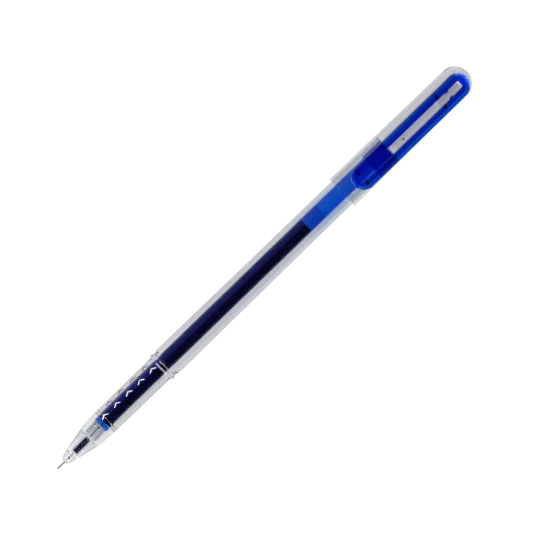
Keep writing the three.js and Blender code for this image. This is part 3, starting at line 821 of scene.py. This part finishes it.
def make_ink():
    """It wets its walls, so it reaches just into them, and it ends in a hollow meniscus."""
    corners = [
        (INK_START - 0.2, 0, 0),
        (INK_START - 0.2, CHAMBER_RADIUS + WET, 0.1),
        (CHAMBER_END, CHAMBER_RADIUS + WET, 0.15),
        (CHAMBER_END, CHANNEL_RADIUS - WET, 0.05),
        (MOUTH_START, CHANNEL_RADIUS - WET, 0.05),
        (MOUTH_END, SPIGOT_BORE + WET, 0.1),
        (SPIGOT_END + 0.02, SPIGOT_BORE + WET, 0.02),
        (SPIGOT_END + 0.05, TUBE_BORE + WET, 0.02),
        (INK_END + 0.35, TUBE_BORE + WET, 0.02),
        (INK_END + 0.1, TUBE_BORE - 0.4, 0.3),
        (INK_END - 0.1, 0, 0),
    ]
    profile = divided(rounded(corners, closed=False), INK_START, LEAN_END, LEAN_STEP, closed=False)
    return turned("ink_column", profile, SMALL_ROUND, closed=False, leaning=True)


def make_follower():
    """It wets the tube, follows the ink's meniscus and has a hollow back."""
    corners = [
        (INK_END, 0, 0),
        (INK_END + 0.2, TUBE_BORE - 0.4, 0.3),
        (INK_END + 0.42, TUBE_BORE + WET, 0.02),
        (FOLLOWER_END, TUBE_BORE + WET, 0.03),
        (FOLLOWER_END - 0.2, TUBE_BORE - 0.6, 0.4),
        (FOLLOWER_END - 0.25, 0, 0),
    ]
    profile = rounded(corners, closed=False)
    return turned("ink_follower_grease", profile, SMALL_ROUND, closed=False, leaning=True)


def make_tip_holder():
    valley = COLLAR_RADIUS - RIB_HEIGHT
    ribs = []
    for i in range(RIBS):
        x = COLLAR_START + i * RIB_PITCH
        ribs += [(x + 0.04, valley, 0.05), (x + 0.17, COLLAR_RADIUS, 0.06),
                 (x + 0.33, COLLAR_RADIUS, 0.06), (x + 0.46, valley, 0.05)]
    corners = [
        (STEM_START, NEEDLE_RADIUS + 0.01, 0.03),
        (STEM_START, STEM_FRONT_RADIUS, 0.2),
        (STEM_START + 0.7, STEM_RADIUS, 0.5),
        (STEM_END, STEM_RADIUS, 0.2),
        (COLLAR_START - 0.35, valley, 0.2),
        *ribs,
        (COLLAR_END, valley, 0.03),
        (COLLAR_END + 0.1, TUBE_BORE + PRESS, 0.05),
        (SPIGOT_END, TUBE_BORE + PRESS, 0.1),
        (SPIGOT_END, SPIGOT_BORE, 0.05),
        (MOUTH_END, SPIGOT_BORE, 0.1),
        (MOUTH_START, CHANNEL_RADIUS, 0.05),
        (CHAMBER_END, CHANNEL_RADIUS, 0.05),
        (CHAMBER_END, CHAMBER_RADIUS, 0.15),
        (NEEDLE_END + 0.02, CHAMBER_RADIUS, 0.1),
        (NEEDLE_END - 0.2, NEEDLE_RADIUS + 0.01, 0.03),
    ]
    profile = divided(rounded(corners, steps=3), LEAN_START, LEAN_END, LEAN_STEP)
    return turned("tip_holder_milky", profile, SMALL_ROUND, leaning=True)


def make_needle():
    corners = [
        (NEEDLE_START, 0.262, 0.008),           # the lip that holds the ball
        (NEEDLE_START, 0.285, 0.012),
        (0.55, NEEDLE_NECK_RADIUS, 0.1),
        (0.75, NEEDLE_NECK_RADIUS, 0.05),
        (0.95, NEEDLE_RADIUS, 0.1),
        (NEEDLE_END, NEEDLE_RADIUS, 0.04),
        (NEEDLE_END, NEEDLE_BORE, 0.03),
        (0.66, NEEDLE_BORE, 0.03),
        (0.52, SEAT_RADIUS, 0.03),
        (NEEDLE_START + 0.08, SEAT_RADIUS, 0.02),
    ]
    profile = divided(rounded(corners), LEAN_START, LEAN_END, NEEDLE_STEP)
    return turned("needle_steel", profile, NEEDLE_ROUND, leaning=True)


def make_ball():
    bm = bmesh.new()
    bmesh.ops.create_icosphere(bm, subdivisions=5, radius=BALL_RADIUS * MM)
    for vert in bm.verts:
        vert.co *= 1 - BALL_PIT_DEPTH * abs(noise.noise(vert.co * BALL_PIT_SCALE))
    bmesh.ops.translate(bm, vec=place(BALL_RADIUS, lean_at(0), 0), verts=bm.verts)
    return finish_mesh("writing_ball_ground", bm)


# ---- the clip ----
def clip_top_at(x):
    before = max(0.0, CLIP_FLAT[0] - x)
    after = max(0.0, x - CLIP_FLAT[1])
    return CLIP_TOP - before**2 / (2 * FRONT_BOW) - after**2 / (2 * BACK_BOW)


def front_lift_at(x):
    """How far the clip's underside rises towards its front end."""
    return max(0.0, CLIP_FLAT[0] - x) ** 2 / FRONT_BOW


def loop_point(u, front, back, half_width, back_round, squareness=2):
    """A point on a long loop with a round front end: u runs 0 to 4 along one side, round the back,
    along the other side and round the front."""
    section, share = int(u) % 4, u % 1
    a, b = front + half_width, back - back_round
    if section == 0:
        return Vector((a + (b - a) * share, -half_width))
    if section == 2:
        return Vector((b + (a - b) * share, half_width))
    angle = (share - 0.5) * math.pi
    c, s = math.cos(angle), math.sin(angle)
    if section == 3:
        return Vector((a - half_width * c, -half_width * s))
    power = 2 / squareness
    side = math.copysign(abs(s) ** power, s)
    return Vector((b + back_round * abs(c) ** power, side * half_width))


def quarter(steps):
    """The sines and cosines of angles from 0 to 90 degrees."""
    angles = [k / steps * math.pi / 2 for k in range(steps + 1)]
    return [(math.sin(a), math.cos(a)) for a in angles]


def clip_section(u):
    """The clip's section at u round its loop, as points and their depths below its top."""
    margin = CLIP_HALF_WIDTH - WEB_HALF_WIDTH
    inner = loop_point(u, SLOT_FRONT, SLOT_BACK, SLOT_HALF_WIDTH, SLOT_BACK_ROUND, 4)
    mid = loop_point(u, CLIP_FRONT + margin, CLIP_BACK - margin, WEB_HALF_WIDTH, WEB_HALF_WIDTH)
    outer = loop_point(u, CLIP_FRONT, CLIP_BACK, CLIP_HALF_WIDTH, CLIP_HALF_WIDTH)
    out = (outer - inner).normalized()
    rim, edge = CLIP_RIM_CUT, CLIP_EDGE_CUT
    return [
        # the top's inner edge, its middle, and round its outer edge down to the flange's
        (inner, edge),
        (inner + out * edge * 0.3, edge * 0.3),
        (inner + out * edge, 0.0),
        (inner.lerp(outer, 0.5), 0.0),
        *[(outer - out * rim * (1 - s), rim * (1 - c)) for s, c in quarter(4)],
        *[(outer - out * edge * (1 - c), CLIP_FLANGE - edge * (1 - s)) for s, c in quarter(2)],
        # the corner where the flange's underside meets the web, and the web's two lower edges
        *[(mid + out * edge * (1 - s), CLIP_FLANGE + edge * (1 - c)) for s, c in quarter(2)],
        *[(mid - out * edge * (1 - c), CLIP_DEPTH - edge * (1 - s)) for s, c in quarter(2)],
        *[(inner + out * edge * (1 - s), CLIP_DEPTH - edge * (1 - c)) for s, c in quarter(2)],
    ]


def make_clip():
    """A ring swept round the slot, a flat flange outside and a deeper web inside, with its slot's
    floor, its pegs and feet, and the two nubs in the tongue's notches."""
    rows = []
    for k in range(4 * LOOP_STEPS):
        row = []
        for at, depth in clip_section(k / LOOP_STEPS):
            lift = front_lift_at(at.x) * min(1.0, depth / CLIP_FLANGE)
            row.append((at.x, at.y, clip_top_at(at.x) - depth + lift))
        rows.append(row)
    ring = skinned("clip_blue", rows, around=True, sharp=FOLD_SHARP_ANGLE)
    tools = [make_slot_floor()]
    for side in (-1, 1):
        for x, bottom in PEGS:
            low = (x - PEG_SIZE[0], side * PEG_Y - PEG_SIZE[1], bottom)
            high = (x + PEG_SIZE[0], side * PEG_Y + PEG_SIZE[1], CLIP_TOP - CLIP_FLANGE + 0.2)
            tools.append(rounded_box("peg", low, high, 0.1))
        low_y, high_y = sorted(side * y for y in NUB_Y)
        low = (NUB_X[0], low_y, CLIP_TOP - NUB_DEPTH[0])
        high = (NUB_X[1], high_y, CLIP_TOP - NUB_DEPTH[1])
        tools.append(rounded_box("nub", low, high, 0.18))
    return joined(ring, tools)


def make_slot_floor():
    """The thin floor of the slot's front stretch, level with the web's underside."""
    half = (SLOT_HALF_WIDTH + WEB_HALF_WIDTH) / 2
    front = SLOT_FRONT - SLOT_HALF_WIDTH / 2
    count = 24
    rows = []
    for k in range(count + 1):
        x = front + (SLOT_FLOOR_END - front) * k / count
        low = clip_top_at(x) - CLIP_DEPTH + front_lift_at(x) + 0.004
        high = low + SLOT_FLOOR
        rows.append([(x, -half, low), (x, half, low), (x, half, high), (x, -half, high)])
    return skinned("slot_floor", rows)


def on_peg_end(point):
    """Whether a point in metres is on the lower end of one of the clip's pegs or feet."""
    for x, bottom in PEGS:
        away = point - place(x, 0, bottom)
        aside = abs(abs(away.y) - PEG_Y * MM)
        if abs(away.x) < PEG_SIZE[0] * MM and aside < PEG_SIZE[1] * MM and away.z < 0.05 * MM:
            return True
    return False


# ---- the cap ----
def make_cap():
    corners = [
        (CAP_BORE_DOME_X + CAP_BORE_DOME_RADIUS, 0, 0),
        *dome(CAP_BORE_DOME_X, CAP_BORE_DOME_RADIUS, range(85, -1, -5)),
        (BARREL_END + 0.5, CAP_BORE_RADIUS, 0.5),
        (CAP_START, CAP_MOUTH_BORE, 0.05),
        (CAP_START, CAP_RING_RADIUS, 0.07),
        (CAP_RING_END, CAP_RING_RADIUS, 0.15),
        (CAP_RING_END + 0.3, CAP_SIDE_RADIUS, 0.15),
        *dome(CAP_DOME_X, CAP_DOME_RADIUS, range(0, 90, 5)),
        (CAP_END, 0, 0),
    ]
    shell = turned("cap_clear", rounded(corners, closed=False), ROUND, closed=False)
    return joined(shell, [make_saddle(), make_gate_pip()])


def make_gate_pip():
    """The small pip on the top of the cap where its moulding gate was."""
    bm = bmesh.new()
    middle = Matrix.Translation(place(*GATE, GATE_TOP - GATE_HEIGHT / 2))
    bmesh.ops.create_cone(
        bm, cap_ends=True, segments=32, radius1=GATE_RADIUS * MM, radius2=GATE_TOP_RADIUS * MM,
        depth=GATE_HEIGHT * MM, matrix=middle)
    return finish_mesh("gate_pip", bm)


def on_gate_pip(point):
    """Whether a point in metres is on the part of the pip that stands above the cap."""
    away = point - place(*GATE, GATE_TOP)
    return math.hypot(away.x, away.y) < GATE_RADIUS * MM and away.z > -0.14 * MM


def make_saddle():
    """The pad under the clip's back end, with a notched tongue that stands in the clip's slot."""
    rows = []
    for x in SADDLE_X:
        top = clip_top_at(x) - CLIP_DEPTH - SADDLE_GAP
        if x == SADDLE_X[0]:
            top -= 0.25
        tongue = clip_top_at(x) - TONGUE_DEPTH if TONGUE_X[0] < x < TONGUE_X[1] else top
        notch = NOTCH_DEPTH * math.exp(-(((x - NOTCH_X) / NOTCH_HALF_LENGTH) ** 6))
        side = TONGUE_HALF_WIDTH - notch
        half = [(side - TONGUE_CUT, tongue), (side, tongue - TONGUE_CUT), (side, top),
                (SADDLE_HALF_WIDTH - 0.15, top), (SADDLE_HALF_WIDTH, top - 0.3),
                (SADDLE_HALF_WIDTH, SADDLE_FOOT)]
        rows.append([(x, -y, z) for y, z in reversed(half)] + [(x, y, z) for y, z in half])
    return skinned("saddle", rows, sharp=FOLD_SHARP_ANGLE)


# ---- the pieces, what each stands for, and the body that it rides on ----
def add_second_material(piece, material, chosen):
    """Gives a second material to the faces whose centres are chosen."""
    piece.data.materials.append(material)
    for face in piece.data.polygons:
        if chosen(face.center):
            face.material_index = 1


# the barrel's and the cap's colours carry painted light and shade
clear_barrel = clear_plastic(
    "clear_barrel", (0.955, 0.955, 0.965), (0.98, 0.98, 0.985), gloom=170, painted_light=barrel_painted_light)
clear_cap = clear_plastic(
    "clear_cap", (0.97, 0.975, 0.99), (0.99, 0.99, 1.0), gloom=120, painted_light=cap_painted_shade)
clear_nose = clear_plastic("clear_nose", (0.94, 0.94, 0.95), (0.96, 0.96, 0.965), gloom=85)
blue_clip = blue_plastic("blue_clip", (0.50, 0.72, 1.0), (0.42, 0.64, 1.0), density=3800)
blue_plug = blue_plastic("blue_plug", (0.16, 0.30, 1.0), (0.12, 0.24, 0.95), density=3000)

pieces = [
    (make_nose_cone(), "nose_cone", "nose", "clear_plastic", clear_nose),
    (make_barrel(), "barrel", "barrel", "clear_plastic", clear_barrel),
    (make_end_plug(), "end_plug", "barrel", "blue_plastic", blue_plug),
    (make_refill_tube(), "refill_tube", "nose", "tinted_plastic", tube_plastic()),
    (make_ink(), "ink", "nose", "gel_ink", gel_ink()),
    (make_follower(), "ink_follower", "nose", "follower_grease", grease()),
    (make_tip_holder(), "tip_holder", "nose", "natural_plastic", milky_plastic()),
    (make_needle(), "needle_tube", "nose", "steel", drawn_steel()),
    (make_ball(), "writing_ball", "ball", "ball_metal", ground_ball()),
    (make_cap(), "cap_shell", "cap", "clear_plastic", clear_cap),
]
for piece, node, body, slot, material in pieces:
    piece.data.materials.append(material)
    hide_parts(node)
    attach(piece, body)

clip = make_clip()
clip.data.materials.append(blue_clip)
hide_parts("clip")
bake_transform(clip)

# second materials: painted glints on two rows of chevrons, the dark pip, painted shade on pegs
add_second_material(bpy.data.objects["barrel_clear"], painted_glint_plastic(), on_painted_glint)
add_second_material(bpy.data.objects["cap_clear"], gate_scar(), on_gate_pip)
add_second_material(clip, painted_peg_shade(), on_peg_end)


# ---- the floor, the light and the camera ----
def make_floor():
    bm = bmesh.new()
    bmesh.ops.create_grid(bm, x_segments=8, y_segments=8, size=40)
    floor = finish_mesh("floor", bm)
    m = Maker("pale_floor")
    m.set(Base_Color=(0.1, 0.1, 0.1, 1), Roughness=0.9, Specular_IOR_Level=0.0)
    m.set(Emission_Color=(1, 1, 1, 1), Emission_Strength=FLOOR_LIGHT)
    floor.data.materials.append(m.material)


def make_world():
    """A dark room with a bright horizon, a faint softbox over the whole +Y side, and a hoop of
    lamps round each end of the pen."""
    world = bpy.data.worlds.new("studio")
    bpy.context.scene.world = world
    world.use_nodes = True
    world.node_tree.nodes.clear()
    w = Nodes(world.node_tree)

    def ramp(value, from_low, from_high, low, high):
        return w.between(value, low, high, from_low, from_high, "SMOOTHSTEP")

    direction = w.add("ShaderNodeSeparateXYZ")
    w.put(direction.inputs[0], w.add("ShaderNodeTexCoord").outputs["Generated"])
    around = w.maths("ARCTAN2", direction.outputs["Y"], direction.outputs["Z"])
    edges = [math.radians(SOFTBOX_FROM + side * SOFTBOX_EDGE) for side in (-1, 1)]
    softbox = ramp(around, *edges, 0, SOFTBOX_LIGHT)
    level = ramp(direction.outputs["Z"], *HORIZON, HORIZON_LIGHT, ROOM_LIGHT)
    endwise = w.maths("ABSOLUTE", direction.outputs["X"])
    hoop = w.maths(
        "MINIMUM",
        ramp(endwise, HOOP_FROM - HOOP_EDGE, HOOP_FROM, 0, HOOP_LIGHT),
        ramp(endwise, HOOP_TO, HOOP_TO + HOOP_EDGE, HOOP_LIGHT, 0))
    background = w.add("ShaderNodeBackground")
    w.put(background.inputs["Color"], (1, 1, 1, 1))
    strength = w.maths("MAXIMUM", hoop, w.maths("MAXIMUM", softbox, level))
    w.put(background.inputs["Strength"], strength)
    w.put(w.add("ShaderNodeOutputWorld").inputs["Surface"], background.outputs[0])


def make_lamp(name, azimuth):
    """A soft rectangular lamp beyond one end of the pen, aimed at its middle."""
    data = bpy.data.lights.new(name, "AREA")
    data.shape = "RECTANGLE"
    data.size, data.size_y = LAMP_SIZE
    data.energy = LAMP_WATTS
    lamp = bpy.data.objects.new(name, data)
    bpy.context.scene.collection.objects.link(lamp)
    a, e = math.radians(azimuth), math.radians(LAMP_ELEVATION)
    toward = Vector((math.cos(e) * math.cos(a), math.cos(e) * math.sin(a), math.sin(e)))
    lamp.location = toward * LAMP_DISTANCE
    lamp.rotation_euler = toward.to_track_quat("Z", "Y").to_euler()


def make_camera():
    """Looks down on the pen, tipped a little towards +Y, with the pen rising to the right."""
    tilt, rise = math.radians(CAMERA_TILT), math.radians(CAMERA_RISE)
    along = Vector((1, 0, 0))
    across = Vector((0, math.cos(tilt), -math.sin(tilt)))
    back = Vector((0, math.sin(tilt), math.cos(tilt)))
    right = along * math.cos(rise) - across * math.sin(rise)
    up = along * math.sin(rise) + across * math.cos(rise)
    aim = Vector((0, 0, AXIS_HEIGHT)) + along * AIM_ON_PEN[0] + across * AIM_ON_PEN[1]
    aim += right * AIM_IN_FRAME[0] + up * AIM_IN_FRAME[1]
    data = bpy.data.cameras.new("camera")
    data.lens = LENS
    data.sensor_width = SENSOR_WIDTH
    data.clip_end = CLIP_DISTANCE
    camera = bpy.data.objects.new("camera", data)
    bpy.context.scene.collection.objects.link(camera)
    turn = Matrix((right, up, back)).transposed().to_4x4()
    camera.matrix_world = Matrix.Translation(aim + back * FRAME_WIDTH * LENS / SENSOR_WIDTH) @ turn
    bpy.context.scene.camera = camera


make_floor()
make_world()
for lamp_name, lamp_azimuth in LAMPS.items():
    make_lamp(lamp_name, lamp_azimuth)
make_camera()

scene = bpy.context.scene
scene.view_settings.view_transform = "Standard"
scene.cycles.max_bounces = 32
scene.cycles.transmission_bounces = 32
scene.cycles.glossy_bounces = 12
scene.cycles.transparent_max_bounces = 16
